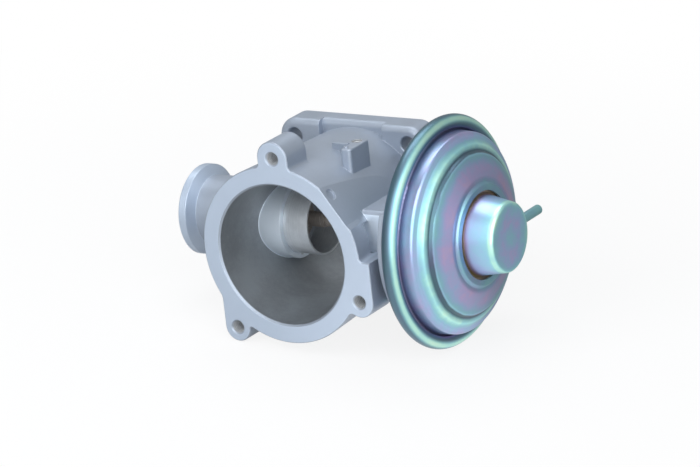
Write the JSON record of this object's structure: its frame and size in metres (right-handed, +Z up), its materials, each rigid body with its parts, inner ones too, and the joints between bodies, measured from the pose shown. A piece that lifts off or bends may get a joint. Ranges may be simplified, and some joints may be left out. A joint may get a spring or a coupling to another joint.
{
  "type": "exhaust gas recirculation valve",
  "caption": "Vacuum-operated exhaust gas recirculation valve: cast air throat with a poppet valve inside, a clamp stub on one side and a round diaphragm can on the other.",
  "frame": {"origin": "centre of the throat on the manifold face, which is also the centre of the four manifold holes", "axes": "+X along the valve stem towards the vacuum can, +Y out of the manifold face, +Z up"},
  "size_m": [0.1462, 0.0936, 0.0938],
  "materials": {
    "cast_aluminium": "as-cast and bead-blasted, machined on its faces",
    "passivated_zinc": "zinc plate with a blue-violet iridescent passivation",
    "turned_steel": "turned",
    "heat_tinted_steel": "turned, browned by heat",
    "plain_steel": "stamped, zinc plated",
    "spring_steel": "drawn wire",
    "sintered_bronze": "sintered, oil-filled",
    "black_rubber": "matte",
    "brown_rubber": "matte",
    "gasket_fibre": "fibre sheet",
    "moulded_nylon": "moulded, glass filled"
  },
  "bodies": {
    "valve_body": {"housing": "cast_aluminium", "face_seal": "black_rubber", "seat_insert": "turned_steel", "lock_pin": "turned_steel", "guide_bush": "sintered_bronze", "stem_seal": "brown_rubber", "seal_retainer": "plain_steel", "retainer_clip": "spring_steel", "heat_gasket": "gasket_fibre", "can_screws": "plain_steel", "back_shell": "passivated_zinc", "cover": "passivated_zinc", "spring_cup": "passivated_zinc", "vacuum_nipple": "passivated_zinc", "spring_seat": "moulded_nylon", "return_spring": "spring_steel", "diaphragm": "black_rubber"},
    "valve": {"valve_stem": "heat_tinted_steel", "valve_disc": "heat_tinted_steel", "lower_plate": "plain_steel", "upper_plate": "plain_steel", "spring_washer": "plain_steel", "stem_nut": "plain_steel"}
  },
  "joints": [
    {"name": "valve_lift", "type": "slide", "parent": "valve_body", "child": "valve", "axis": [1, 0, 0], "range_m": [0, 0.005], "stiffness_N_per_m": 3000, "springref_m": -0.01, "deforming": ["return_spring", "diaphragm"]}
  ]
}
